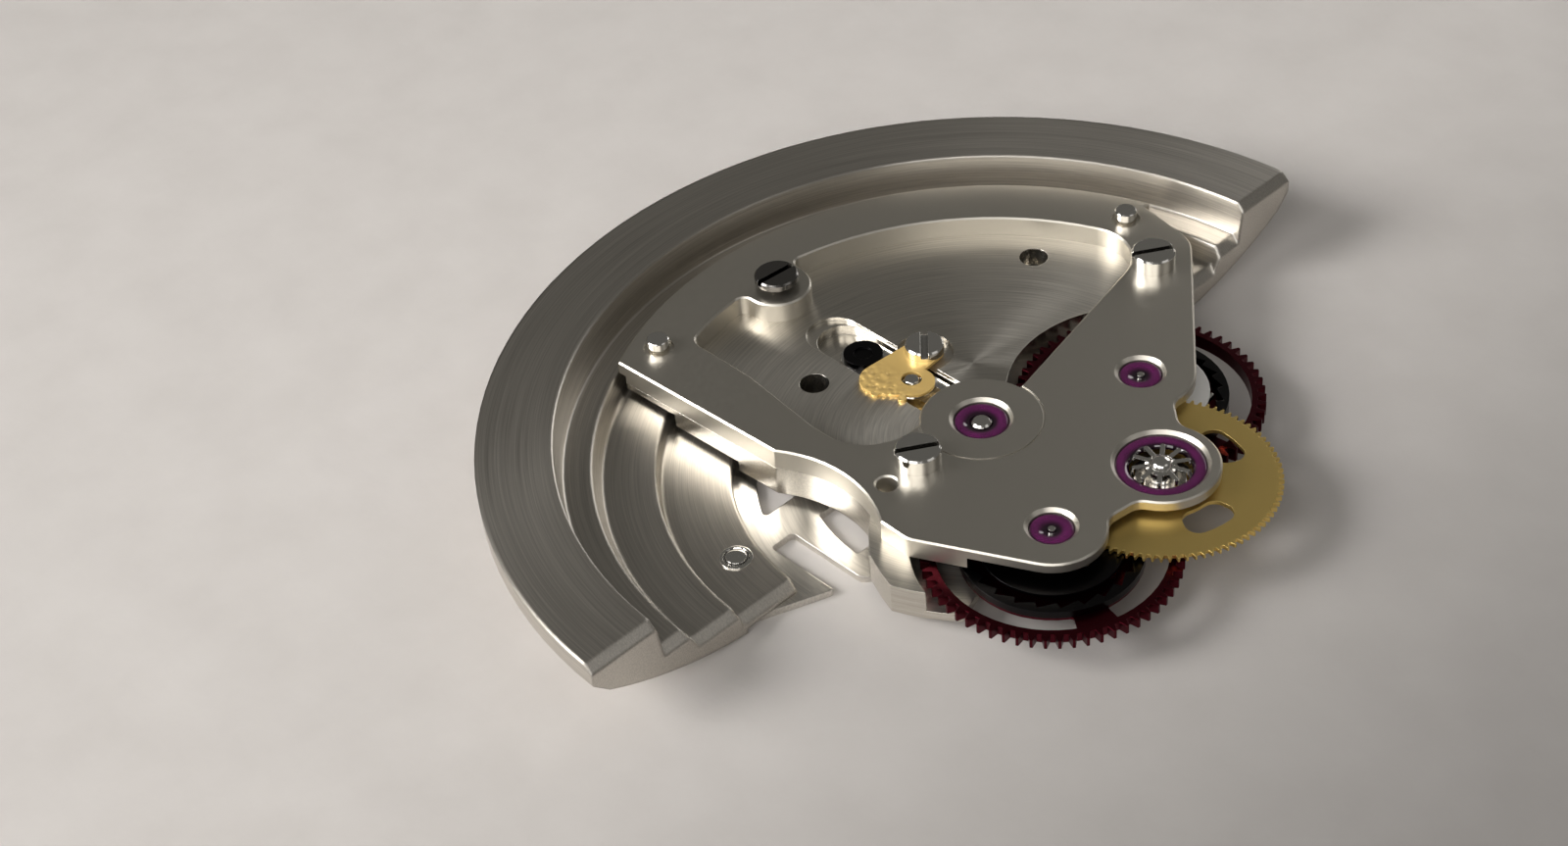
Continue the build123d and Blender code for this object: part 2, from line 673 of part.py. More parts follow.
# Framework: the lower plate, stepped on its underside to clear the rotor
slot_z = bolt_z - bolt_play
bolt_slot_x = plate_r * bolt_slot_share
bolt_slot_width = plate_r * bolt_slot_width_share
slot_far_y = plate_r * bolt_slot_end_share - bolt_slot_width / 2
ledge_run_width = plate_r * bolt_ledge_width_share
ledge_far_y = plate_r * bolt_ledge_end_share - ledge_run_width / 2
with BuildPart() as framework:
    with BuildSketch(Plane.XY.offset(base_z)):
        add(frame_plan.sketch)
        Circle(core_r, mode=Mode.INTERSECT)
    extrude(amount=floor_z - base_z)
    with BuildSketch(Plane.XY.offset(land_under_z)):
        add(frame_plan.sketch)
        Circle(waist_r, mode=Mode.INTERSECT)
    extrude(amount=floor_z - land_under_z)
    with BuildSketch(Plane.XY.offset(shelf_under_z)):
        add(frame_plan.sketch)
    extrude(amount=floor_z - shelf_under_z)
    # Room for the two reverser wheels, and the windows below them
    with BuildSketch(Plane.XY.offset(cavity_z)):
        with Locations(reverser_1, reverser_2):
            Circle(cavity_r)
    extrude(amount=floor_z - cavity_z, mode=Mode.SUBTRACT)
    with BuildSketch(Plane.XY.offset(base_z)):
        with Locations(reverser_1, reverser_2):
            Circle(cavity_r)
        add(floor_plan.sketch, mode=Mode.SUBTRACT)
    extrude(amount=base_thickness, mode=Mode.SUBTRACT)
    with BuildSketch(Plane.XY.offset(base_z)):
        with Locations(driving):
            Circle(lobe_3_r)
        add(floor_plan.sketch, mode=Mode.SUBTRACT)
    extrude(amount=floor_z - base_z, mode=Mode.SUBTRACT)
    with BuildSketch(Plane.XY.offset(cavity_z)):
        with Locations(driving):
            Circle(lobe_3_r)
    extrude(amount=floor_z - cavity_z, mode=Mode.SUBTRACT)
    # Room for the rotor gear, and the slot of the bolt
    with BuildSketch(Plane.XY.offset(gear_floor_z)):
        Circle(gear_cavity_r)
    extrude(amount=floor_z - gear_floor_z, mode=Mode.SUBTRACT)
    with BuildSketch(Plane.XY.offset(slot_z)):
        with Locations((bolt_slot_x, slot_far_y / 2)):
            Rectangle(bolt_slot_width, slot_far_y)
        with Locations((bolt_slot_x, slot_far_y)):
            Circle(bolt_slot_width / 2)
    extrude(amount=floor_z - slot_z, mode=Mode.SUBTRACT)
    with BuildSketch(Plane.XY.offset(floor_z)):
        with Locations((plate_r * bolt_ledge_share, ledge_far_y / 2)):
            Rectangle(ledge_run_width, ledge_far_y)
        with Locations((plate_r * bolt_ledge_share, ledge_far_y)):
            Circle(ledge_run_width / 2)
        with Locations(clip_screw_spot):
            Circle(clip_screw_r + clip_sink_rim)
        Circle(gear_cavity_r, mode=Mode.SUBTRACT)
    extrude(amount=-bolt_ledge_depth, mode=Mode.SUBTRACT)
    with BuildSketch(Plane.XY.offset(floor_z)):
        with Locations(clip_screw_spot):
            Circle(clip_screw_r + clip_sink_rim)
    extrude(amount=-clip_sink_depth, mode=Mode.SUBTRACT)
    # Holes for the jewels, screws and pins
    with BuildSketch(Plane.XY.offset(base_z)):
        Circle(base_centre_jewel_r)
        with Locations(reverser_1, reverser_2, driving):
            Circle(base_jewel_r)
        with Locations(*mount_hole_spots):
            Circle(mount_hole_r)
    extrude(amount=floor_z - base_z, mode=Mode.SUBTRACT)
    with BuildSketch(Plane.XY.offset(floor_z)):
        with Locations(*bridge_screw_spots, shoulder_screw_spot, clip_screw_spot):
            Circle(thread_r)
    extrude(amount=bridge_top - thread_length - floor_z, mode=Mode.SUBTRACT)
    with BuildSketch(Plane.XY.offset(slot_z)):
        with Locations(clip_pin_spot):
            Circle(clip_pin_r)
    extrude(amount=-clip_pin_root, mode=Mode.SUBTRACT)
    with BuildSketch(Plane.XY.offset(shelf_under_z)):
        with Locations(*steady_pin_spots):
            Circle(steady_pin_stem_r)
    extrude(amount=floor_z - shelf_under_z, mode=Mode.SUBTRACT)
finish(framework.part, "framework")

# Bridge: the upper plate, with the big recess and its pockets underneath
with BuildPart() as lower_bridge:
    with BuildSketch(Plane.XY.offset(floor_z)):
        add(plate_plan.sketch)
        add(recess_plan.sketch, mode=Mode.SUBTRACT)
        with Locations(reverser_1, reverser_2):
            Circle(wheel_jewel_r, mode=Mode.SUBTRACT)
        Circle(centre_jewel_r, mode=Mode.SUBTRACT)
        with Locations(*bridge_screw_spots, shoulder_screw_spot):
            Circle(thread_r + screw_play, mode=Mode.SUBTRACT)
        with Locations(*steady_pin_spots):
            Circle(steady_pin_stem_r, mode=Mode.SUBTRACT)
        with Locations(small_hole_spot):
            Circle(small_hole_r, mode=Mode.SUBTRACT)
        with Locations(driving):
            Circle(ring_jewel_r, mode=Mode.SUBTRACT)
    extrude(amount=bridge_thickness)
    top_edges = lower_bridge.faces().sort_by(Axis.Z)[-1].edges()
    chamfer(top_edges, length=edge_chamfer)
    with BuildSketch(Plane.XY.offset(floor_z)):
        Circle(plate_r * 2)
        Circle(body_r, mode=Mode.SUBTRACT)
    extrude(amount=lip_z - floor_z, mode=Mode.SUBTRACT)
    with BuildSketch(Plane.XY.offset(floor_z)):
        with Locations(reverser_1, reverser_2):
            Circle(plate_r * pocket_share)
        with Locations(driving):
            Circle(driving_pitch_r + fine_module + driving_clearance)
    extrude(amount=pocket_z - floor_z, mode=Mode.SUBTRACT)
    with BuildSketch(Plane.XY.offset(bridge_top)):
        with Locations(*steady_pin_spots):
            Circle(steady_pin_r + steady_pin_sink_rim)
    extrude(amount=-steady_pin_sink, mode=Mode.SUBTRACT)
    with BuildSketch(Plane.XY.offset(bridge_top)):
        Circle(boss_r + edge_chamfer)
        Circle(boss_r, mode=Mode.SUBTRACT)
        add(recess_plan.sketch, mode=Mode.SUBTRACT)
    extrude(amount=-boss_groove, mode=Mode.SUBTRACT)
    # The upper jewels sit a little below the top, each in a hole with a bevelled mouth
    for spots, seat_r in (((reverser_1, reverser_2), wheel_jewel_r), ((driving,), ring_jewel_r),
                          (((0, 0),), centre_jewel_r)):
        with Locations(*[(*spot, bridge_top) for spot in spots]):
            Cone(seat_r, seat_r + jewel_sink, jewel_sink,
                 align=(Align.CENTER, Align.CENTER, Align.MAX), mode=Mode.SUBTRACT)
finish(lower_bridge.part, "lower_bridge")


def jewel_ring(outer_r, bore_r, bottom, thickness, cup_r):
    """A pressed jewel: a ring with a hollowed top."""
    with BuildPart() as ring:
        with BuildSketch(Plane.XY.offset(bottom)):
            Circle(outer_r)
            Circle(bore_r, mode=Mode.SUBTRACT)
        extrude(amount=thickness)
        with Locations((0, 0, bottom + thickness)):
            Cone(bore_r, cup_r, jewel_edge, align=(Align.CENTER, Align.CENTER, Align.MAX),
                 mode=Mode.SUBTRACT)
    return ring.part


cup_share = 0.60
base_jewel_z = base_z + base_jewel_inset
with BuildPart() as rotor_jewel_bridge:
    add(jewel_ring(centre_jewel_r, axle_pivot_r + running_play, jewel_z, jewel_thickness,
                   centre_jewel_r * cup_share))
finish(rotor_jewel_bridge.part, "rotor_jewel_bridge")

with BuildPart() as rotor_jewel_framework:
    with BuildSketch(Plane.XY.offset(base_jewel_z)):
        Circle(base_centre_jewel_r)
        Circle(axle_r + running_play, mode=Mode.SUBTRACT)
    extrude(amount=base_jewel_thickness)
finish(rotor_jewel_framework.part, "rotor_jewel_framework")

with BuildPart() as reverser_jewels_bridge:
    with Locations(reverser_1, reverser_2):
        add(jewel_ring(wheel_jewel_r, staff_pivot_r + pivot_play, jewel_z, jewel_thickness,
                       wheel_jewel_r * cup_share))
finish(reverser_jewels_bridge.part, "reverser_jewels_bridge")

with BuildPart() as reverser_jewels_framework:
    with BuildSketch(Plane.XY.offset(base_jewel_z)):
        with Locations(reverser_1, reverser_2):
            Circle(base_jewel_r)
            Circle(staff_pivot_r + pivot_play, mode=Mode.SUBTRACT)
    extrude(amount=base_jewel_thickness)
finish(reverser_jewels_framework.part, "reverser_jewels_framework")

with BuildPart() as driving_ring_jewel:
    with Locations(driving):
        add(jewel_ring(ring_jewel_r, output_tip_r + jewel_edge, jewel_z, jewel_thickness,
                       output_tip_r + jewel_edge * 2))
finish(driving_ring_jewel.part, "driving_ring_jewel")

with BuildPart() as driving_jewel_framework:
    with BuildSketch(Plane.XY.offset(base_jewel_z)):
        with Locations(driving):
            Circle(base_jewel_r)
            Circle(staff_pivot_r + pivot_play, mode=Mode.SUBTRACT)
    extrude(amount=base_jewel_thickness)
finish(driving_jewel_framework.part, "driving_jewel_framework")

# Reversers: toothed wheel, ratchet ring, staff with pinion, carrier, pins and pawls
wheel_inner_r = wheel_pitch_r * wheel_inner_share
ratchet_outer_r = wheel_pitch_r * ratchet_outer_share
carrier_r = wheel_pitch_r * carrier_share
pawl_pivot_r = wheel_pitch_r * pawl_pivot_share
pawl_root_r = wheel_pitch_r * pawl_root_share
window_sweep = 360 / spoke_count - spoke_angle
with BuildSketch() as wheel_window:
    add(ring_sector(ratchet_outer_r, wheel_inner_r, spoke_angle / 2, window_sweep))
    fillet(wheel_window.vertices(), radius=wheel_pitch_r * window_round_share)
staff_foot = base_jewel_z + base_jewel_thickness + bolt_play
ratchet_top = carrier_z - bolt_play
pawl_top = carrier_z - bolt_play
pawl_z = pawl_top - pawl_thickness
pinion_z = carrier_top + bolt_play


def reverser(number, centre, wheel_z, wheel_top, wheel_phase, pinion_phase, spoke_turn):
    """All the pieces of one reverser, written to their own files."""
    floor_top = wheel_z + wheel_floor
    with BuildPart() as red_wheel:
        with BuildSketch(Plane.XY.offset(wheel_z)):
            add(toothed_face(gear_points(wheel_teeth, tooth_module, wheel_phase, centre)))
            with Locations(centre):
                Circle(wheel_inner_r, mode=Mode.SUBTRACT)
        extrude(amount=wheel_top - wheel_z)
        with BuildSketch(Plane.XY.offset(wheel_z)):
            with Locations(centre):
                Circle(wheel_inner_r)
                Circle(staff_r + running_play, mode=Mode.SUBTRACT)
                with PolarLocations(0, spoke_count, start_angle=spoke_turn):
                    add(wheel_window.sketch, mode=Mode.SUBTRACT)
        extrude(amount=wheel_floor)
    finish(red_wheel.part, f"red_wheel_{number}")

    with BuildPart() as ratchet_ring:
        with BuildSketch(Plane.XY.offset(floor_top)):
            with Locations(centre):
                Circle(ratchet_outer_r)
            saw = saw_points(ratchet_teeth, wheel_pitch_r * ratchet_root_share,
                             wheel_pitch_r * ratchet_tip_share, centre)
            add(toothed_face(saw), mode=Mode.SUBTRACT)
        extrude(amount=ratchet_top - floor_top)
    finish(ratchet_ring.part, f"ratchet_ring_{number}")

    with BuildPart() as reverser_staff:
        with BuildSketch(Plane.XY.offset(base_jewel_z)):
            with Locations(centre):
                Circle(staff_pivot_r)
        extrude(amount=jewel_top - base_jewel_z)
        with BuildSketch(Plane.XY.offset(staff_foot)):
            with Locations(centre):
                Circle(staff_collar_r)
        extrude(amount=wheel_z - bolt_play - staff_foot)
        with BuildSketch(Plane.XY.offset(staff_foot)):
            with Locations(centre):
                Circle(staff_r)
        extrude(amount=pinion_z - staff_foot)
        with BuildSketch(Plane.XY.offset(pinion_z)):
            add(toothed_face(gear_points(pinion_teeth, fine_module, pinion_phase, centre)))
        extrude(amount=pinion_top - pinion_z)
    finish(reverser_staff.part, f"reverser_staff_{number}")

    pins = [polar(pawl_pivot_r, 90, centre), polar(pawl_pivot_r, 270, centre)]
    with BuildPart() as pawl_carrier:
        with BuildSketch(Plane.XY.offset(carrier_z)):
            with Locations(centre):
                Circle(carrier_r)
                Circle(staff_r, mode=Mode.SUBTRACT)
            with Locations(*pins):
                Circle(pawl_pin_r, mode=Mode.SUBTRACT)
        extrude(amount=carrier_thickness)
    finish(pawl_carrier.part, f"pawl_carrier_{number}")

    head_z = pawl_z - pin_head - bolt_play
    with BuildPart() as pawl_pins:
        with BuildSketch(Plane.XY.offset(head_z)):
            with Locations(*pins):
                Circle(pawl_pin_r)
        extrude(amount=carrier_top - head_z)
        with BuildSketch(Plane.XY.offset(head_z)):
            with Locations(*pins):
                Circle(pawl_pin_r + pin_head_rim)
        extrude(amount=pin_head)
    finish(pawl_pins.part, f"pawl_pins_{number}")

    for letter, turn in (("a", 90), ("b", 270)):
        pivot = polar(pawl_pivot_r, turn, centre)
        belly = polar(wheel_pitch_r * pawl_belly_share, turn + pawl_belly_sweep, centre)
        nose = polar(wheel_pitch_r * pawl_tip_share, turn + pawl_sweep, centre)
        with BuildPart() as pawl:
            with BuildSketch(Plane.XY.offset(pawl_z)):
                add(hull_of((pivot, pawl_root_r), (belly, pawl_root_r), (nose, pawl_nose_r)))
                with Locations(pivot):
                    Circle(pawl_pin_r + running_play, mode=Mode.SUBTRACT)
            extrude(amount=pawl_thickness)
        finish(pawl.part, f"pawl_{number}{letter}")


reverser(1, reverser_1, wheel_1_z, wheel_1_top, wheel_1_phase, pinion_1_phase, spoke_1_turn)
reverser(2, reverser_2, wheel_2_z, wheel_2_top, wheel_2_phase, pinion_2_phase, spoke_2_turn)

# Driving wheel with kidney holes, pressed on the arbor of the output pinion
with BuildSketch() as one_kidney:
    add(ring_sector(driving_pitch_r * kidney_inner_share, driving_pitch_r * kidney_outer_share,
                    -kidney_sweep / 2, kidney_sweep))
    fillet(one_kidney.vertices(), radius=kidney_fillet)
with BuildPart() as driving_wheel:
    with BuildSketch(Plane.XY.offset(driving_z)):
        add(toothed_face(gear_points(driving_teeth, fine_module, driving_phase, driving)))
        with Locations(driving):
            Circle(arbor_r, mode=Mode.SUBTRACT)
            with PolarLocations(0, kidney_count, start_angle=kidney_turn):
                add(one_kidney.sketch, mode=Mode.SUBTRACT)
    extrude(amount=driving_thickness)
finish(driving_wheel.part, "driving_wheel")

output_top = bridge_top + output_height
leaf_root_share = 0.56
leaf_tip_share = 0.26
with BuildPart() as driving_pinion:
    with BuildSketch(Plane.XY.offset(driving_top)):
        leaves = tooth_points(output_leaves, output_root_r, output_tip_r, leaf_root_share,
                              leaf_tip_share, 0, driving)
        add(toothed_face(leaves))
    extrude(amount=output_top - driving_top)
    with BuildSketch(Plane.XY.offset(driving_z)):
        with Locations(driving):
            Circle(arbor_r)
    extrude(amount=driving_thickness)
    with BuildSketch(Plane.XY.offset(staff_foot)):
        with Locations(driving):
            Circle(lower_arbor_r)
    extrude(amount=driving_z - staff_foot)
    with BuildSketch(Plane.XY.offset(base_jewel_z)):
        with Locations(driving):
            Circle(staff_pivot_r)
    extrude(amount=staff_foot - base_jewel_z)
finish(driving_pinion.part, "driving_pinion")

# Bolt: a flat bar in the slot with a window for the clip's pin, forked round the neck of the axle
bolt_width = bolt_slot_width - side_play * 2
bar_far_y = slot_far_y - bolt_travel - bolt_end_play / 2
bar_low = bolt_fork_high_y / 2
window_r = plate_r * bolt_window_share
window_low = (bolt_slot_x, plate_r * bolt_window_low_share)
window_high = (bolt_slot_x, plate_r * bolt_window_high_share)
notch_r = axle_neck_r + bolt_fork_play
with BuildPart() as rotor_bolt:
    with BuildSketch(Plane.XY.offset(bolt_z)) as bolt_plan:
        with Locations((0, (bolt_fork_low_y + bolt_fork_high_y) / 2)):
            Rectangle(bolt_fork_width, bolt_fork_high_y - bolt_fork_low_y)
        fillet(bolt_plan.vertices(), radius=bolt_fillet)
        with Locations((bolt_slot_x, (bar_far_y + bar_low) / 2)):
            Rectangle(bolt_width, bar_far_y - bar_low)
        with Locations((bolt_slot_x, bar_far_y)):
            Circle(bolt_width / 2)
        Circle(notch_r, mode=Mode.SUBTRACT)
        with Locations((0, -notch_r)):
            Rectangle(notch_r * 2, notch_r * 2, mode=Mode.SUBTRACT)
        add(hull_of((window_low, window_r), (window_high, window_r)), mode=Mode.SUBTRACT)
        with Locations(button_spot):
            Circle(button_ring_r, mode=Mode.SUBTRACT)
    extrude(amount=bolt_thickness)
finish(rotor_bolt.part, "rotor_bolt")

# Button: the dark stud riveted in the bolt
with BuildPart() as bolt_stud:
    with BuildSketch(Plane.XY.offset(bolt_z)):
        with Locations(button_spot):
            Circle(button_ring_r)
    extrude(amount=bolt_thickness)
    with BuildSketch(Plane.XY.offset(bolt_top)):
        with Locations(button_spot):
            Circle(button_r)
    extrude(amount=button_height)
    with BuildSketch(Plane.XY.offset(bolt_top + button_height)):
        with Locations(button_spot):
            Circle(button_ring_r)
    extrude(amount=-button_sink, mode=Mode.SUBTRACT)
finish(bolt_stud.part, "bolt_stud")

# Clip over the bolt: a rounded gilt spring with two small feet, its flush pin and its screw
clip_top = floor_z + clip_thickness
clip_left = (on_plate(clip_left_shares), plate_r * clip_left_share)
clip_low = (on_plate(clip_low_shares), plate_r * clip_low_share)
clip_end = (clip_screw_spot, plate_r * clip_end_share)
with BuildPart() as clip_plate:
    with BuildSketch(Plane.XY.offset(floor_z)):
        add(hull_of(clip_left, clip_low))
        add(hull_of(clip_left, clip_end))
        with Locations(*[on_plate(shares) for shares in clip_feet_shares]):
            Circle(plate_r * clip_foot_share)
        with Locations(clip_pin_spot):
            Circle(clip_hole_r, mode=Mode.SUBTRACT)
        with Locations(clip_screw_spot):
            Circle(thread_r + screw_play, mode=Mode.SUBTRACT)
    extrude(amount=clip_thickness)
finish(clip_plate.part, "clip_plate")

with BuildPart() as clip_pin:
    with BuildSketch(Plane.XY.offset(slot_z - clip_pin_root)):
        with Locations(clip_pin_spot):
            Circle(clip_pin_r)
    extrude(amount=clip_top + clip_pin_root - slot_z)
    chamfer(clip_pin.faces().sort_by(Axis.Z)[-1].edges(), length=clip_edge)
finish(clip_pin.part, "clip_pin")


def slotted_screw(head_r, head_z, head_height, bottom, slot_turn, width):
    """A slotted screw on the axis, with a bevelled head and a plain shank."""
    with BuildPart() as screw:
        with BuildSketch(Plane.XY.offset(bottom)):
            Circle(thread_r)
        extrude(amount=head_z - bottom)
        with BuildSketch(Plane.XY.offset(head_z)):
            Circle(head_r)
        extrude(amount=head_height)
        chamfer(screw.faces().sort_by(Axis.Z)[-1].edges(), length=edge_chamfer)
        with BuildSketch(Plane.XY.offset(head_z + head_height)):
            Rectangle(head_r * 3, width, rotation=slot_turn)
        extrude(amount=-slot_depth, mode=Mode.SUBTRACT)
    return screw.part


screw_bottom = bridge_top - thread_length
bridge_slot_turns = [147.0, 147.0]
shoulder_slot_turn = 175.0
clip_slot_turn = 44.7
with BuildPart() as bridge_screws:
    for spot, turn in zip(bridge_screw_spots, bridge_slot_turns):
        with Locations(spot):
            add(slotted_screw(bridge_screw_r, bridge_top, bridge_screw_head, screw_bottom, turn,
                              slot_width))
finish(bridge_screws.part, "bridge_screws")

with BuildPart() as fixing_screw:
    with Locations(shoulder_screw_spot):
        add(slotted_screw(shoulder_screw_r, bridge_top + shoulder_screw_lift, shoulder_screw_head,
                          screw_bottom, shoulder_slot_turn, slot_width))
finish(fixing_screw.part, "fixing_screw")

with BuildPart() as clip_screw:
    with Locations(clip_screw_spot):
        add(slotted_screw(clip_screw_r, clip_top, clip_screw_head, screw_bottom, clip_slot_turn,
                          clip_slot_width))
finish(clip_screw.part, "clip_screw")

# Steady pins: a thin stem through both plates, and a head that stands proud of the bridge
pin_head_z = bridge_top - steady_pin_sink
with BuildPart() as steady_pins:
    with BuildSketch(Plane.XY.offset(shelf_under_z)):
        with Locations(*steady_pin_spots):
            Circle(steady_pin_stem_r)
    extrude(amount=pin_head_z - shelf_under_z)
    with BuildSketch(Plane.XY.offset(pin_head_z)):
        with Locations(*steady_pin_spots):
            Circle(steady_pin_r)
    extrude(amount=bridge_top + steady_pin_height - pin_head_z)
    pin_tops = steady_pins.faces().sort_by(Axis.Z)[-2:]
    chamfer([e for face in pin_tops for e in face.edges()], length=steady_pin_edge)
finish(steady_pins.part, "steady_pins")
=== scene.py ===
from math import cos, pi, radians, sin

import bmesh
import bpy
from mathutils import Matrix, Vector


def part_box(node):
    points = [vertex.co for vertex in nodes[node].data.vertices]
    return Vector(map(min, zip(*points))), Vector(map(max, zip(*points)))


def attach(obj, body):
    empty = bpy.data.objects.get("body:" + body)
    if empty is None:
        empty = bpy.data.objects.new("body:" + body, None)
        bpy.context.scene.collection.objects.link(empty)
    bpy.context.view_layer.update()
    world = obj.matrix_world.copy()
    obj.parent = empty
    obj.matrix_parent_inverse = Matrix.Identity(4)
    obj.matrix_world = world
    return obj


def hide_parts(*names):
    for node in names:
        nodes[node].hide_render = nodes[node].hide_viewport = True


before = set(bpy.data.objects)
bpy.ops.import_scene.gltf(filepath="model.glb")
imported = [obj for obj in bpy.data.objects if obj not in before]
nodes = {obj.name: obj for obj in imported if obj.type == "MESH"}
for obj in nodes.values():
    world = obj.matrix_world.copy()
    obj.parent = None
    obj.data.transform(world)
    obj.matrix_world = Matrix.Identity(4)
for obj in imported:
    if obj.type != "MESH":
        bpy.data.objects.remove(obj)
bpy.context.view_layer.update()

# The view: a phone held over the paper on the side of the wheels, looking down by forty degrees
# and a little turned, as the photograph was taken.
eye = Vector((-0.039138, -0.037583, 0.048103))
look_at = Vector((-0.004231, 0.003433, 0.0026))
tilt = radians(-5.4)
forward = (look_at - eye).normalized()
level = forward.cross(Vector((0, 0, 1))).normalized()
upright = level.cross(forward)
across = level * cos(tilt) + upright * sin(tilt)
upward = upright * cos(tilt) - level * sin(tilt)
camera_data = bpy.data.cameras.new("phone_camera")
camera_data.lens = 58.907
camera_data.sensor_width = 36.0
camera_data.sensor_fit = "HORIZONTAL"
camera_data.clip_start = 0.001
camera_data.clip_end = 10.0
camera = bpy.data.objects.new("phone_camera", camera_data)
view_turn = Matrix((across, upward, -forward)).transposed()
camera.matrix_world = Matrix.Translation(eye) @ view_turn.to_4x4()
bpy.context.scene.collection.objects.link(camera)
bpy.context.scene.camera = camera

# The light: a window close by on the left of the picture, a fainter one on the viewer's left and
# one behind the viewer, the walls on the right that give light back, beyond the object and nearer
# than it, and the dim even light of the room.
bpy.context.scene.view_settings.view_transform = "Standard"
room = bpy.data.worlds.new("dim_room")
bpy.context.scene.world = room
room.use_nodes = True
room_light = room.node_tree.nodes["Background"]
room_light.inputs["Color"].default_value = (1.0, 0.97, 0.90, 1)
room_light.inputs["Strength"].default_value = 0.11
daylight = (1.0, 0.985, 0.97)
for name, azimuth, elevation, distance, size, power, beam, aim in (
        ("left_window", 148, 30, 0.18, 0.11, 0.050, 50, (-0.008, 0.012, 0)),
        ("near_window", 198, 38, 0.40, 0.20, 0.38, 180, (0, 0, 0)),
        ("front_window", 232, 36, 0.40, 0.14, 0.22, 180, (0, 0, 0)),
        ("right_wall", 12, 16, 0.45, 0.20, 0.30, 180, (0, 0, 0)),
        ("near_wall", 292, 42, 0.45, 0.20, 0.06, 180, (0, 0, 0))):
    lamp = bpy.data.lights.new(name, "AREA")
    lamp.size = size
    lamp.energy = power
    lamp.spread = radians(beam)
    lamp.color = daylight
    flat_way = Vector((cos(radians(azimuth)), sin(radians(azimuth)), 0)) * cos(radians(elevation))
    from_aim = (flat_way + Vector((0, 0, sin(radians(elevation))))) * distance
    lamp_object = bpy.data.objects.new(name, lamp)
    lamp_object.matrix_world = (Matrix.Translation(Vector(aim) + from_aim)
                                @ from_aim.to_track_quat("Z", "Y").to_matrix().to_4x4())
    bpy.context.scene.collection.objects.link(lamp_object)


# The paper: a sheet of plain pale office paper on the bench, with the faint cloudy tooth of its
# fibres, and a painted soft shadow that makes it dimmer towards the wheels. It is the floor and no
# part of the object.
def add_piece(name, shape):
    """An object of the scene, made from a finished bmesh shape."""
    mesh = bpy.data.meshes.new(name)
    shape.to_mesh(mesh)
    shape.free()
    piece = bpy.data.objects.new(name, mesh)
    bpy.context.scene.collection.objects.link(piece)
    return piece


def feed(tree, node, **inputs):
    """Gives inputs of a shader node a constant each, or another node's output."""
    for name, value in inputs.items():
        socket = node.inputs[name.replace("_", " ")]
        if isinstance(value, bpy.types.NodeSocket):
            tree.links.new(value, socket)
        else:
            socket.default_value = value


def make_node(tree, kind, settings=None, **inputs):
    """A shader node with its settings made and its inputs fed."""
    node = tree.nodes.new("ShaderNode" + kind)
    for name, value in (settings or {}).items():
        setattr(node, name, value)
    feed(tree, node, **inputs)
    return node


def two_tones(tree, pattern, low, dark, high, light):
    """A colour that goes from dark to light as the pattern goes from low to high."""
    ramp = make_node(tree, "ValToRGB", Fac=pattern)
    first, last = ramp.color_ramp.elements
    first.position = low
    first.color = (*dark, 1)
    last.position = high
    last.color = (*light, 1)
    return ramp.outputs["Color"]


def scaled(tree, colour, factor):
    """A colour made lighter or darker by a factor."""
    product = make_node(tree, "VectorMath", {"operation": "SCALE"}, Vector=colour, Scale=factor)
    return product.outputs["Vector"]


def new_finish(name, **inputs):
    """A new material, its node tree and its surface."""
    finish = bpy.data.materials.new(name)
    finish.use_nodes = True
    surface = finish.node_tree.nodes["Principled BSDF"]
    feed(finish.node_tree, surface, **inputs)
    return finish, finish.node_tree, surface


sheet = bmesh.new()
bmesh.ops.create_grid(sheet, x_segments=1, y_segments=1, size=0.6)
paper = add_piece("paper", sheet)
paper_look, paper_tree, paper_surface = new_finish("paper_fibres", Roughness=0.9)
paper_place = make_node(paper_tree, "TexCoord").outputs["Object"]
fibres = make_node(paper_tree, "TexNoise", Vector=paper_place, Scale=420.0, Detail=6.0)
paper_tint = two_tones(paper_tree, fibres.outputs["Fac"],
                       0.3, (0.575, 0.545, 0.52), 0.7, (0.61, 0.58, 0.555))
far_and_near = make_node(paper_tree, "SeparateXYZ", Vector=paper_place)
# Painted shadow: the paper's colour darkens to half towards the wheels.
shadow = make_node(paper_tree, "MapRange", {"interpolation_type": "SMOOTHSTEP"},
                   Value=far_and_near.outputs["Y"],
                   From_Min=-0.022, From_Max=0.005, To_Min=0.50, To_Max=1.12)
tooth = make_node(paper_tree, "Bump", Strength=0.5, Distance=0.0001, Height=fibres.outputs["Fac"])
feed(paper_tree, paper_surface, Normal=tooth.outputs["Normal"],
     Base_Color=scaled(paper_tree, paper_tint, shadow.outputs["Result"]))
paper.data.materials.append(paper_look)


# The weight: a heavy-metal half ring, plated grey. It is turned on a lathe, so that every step
# shows fine circles round the rotor axis, then faced off across its two ends.
def combine(tree, operation, *terms):
    """The result of a sum whose terms are numbers or outputs of other nodes."""
    step = make_node(tree, "Math", {"operation": operation})
    for socket, term in zip(step.inputs, terms):
        if isinstance(term, bpy.types.NodeSocket):
            tree.links.new(term, socket)
        else:
            socket.default_value = term
    return step.outputs["Value"]


def shade_painted_in_hollows(tree, reach, rays, dark_at, light_at, darkest):
    """Painted shade: one in the open, and nearly nothing deep in holes and slots, where the metal
    closes round.
    """
    shut_in = make_node(tree, "AmbientOcclusion", {"samples": rays, "only_local": True},
                        Distance=reach)
    deep = make_node(tree, "MapRange", Value=shut_in.outputs["AO"],
                     From_Min=dark_at, From_Max=light_at, To_Min=darkest)
    return deep.outputs["Result"]


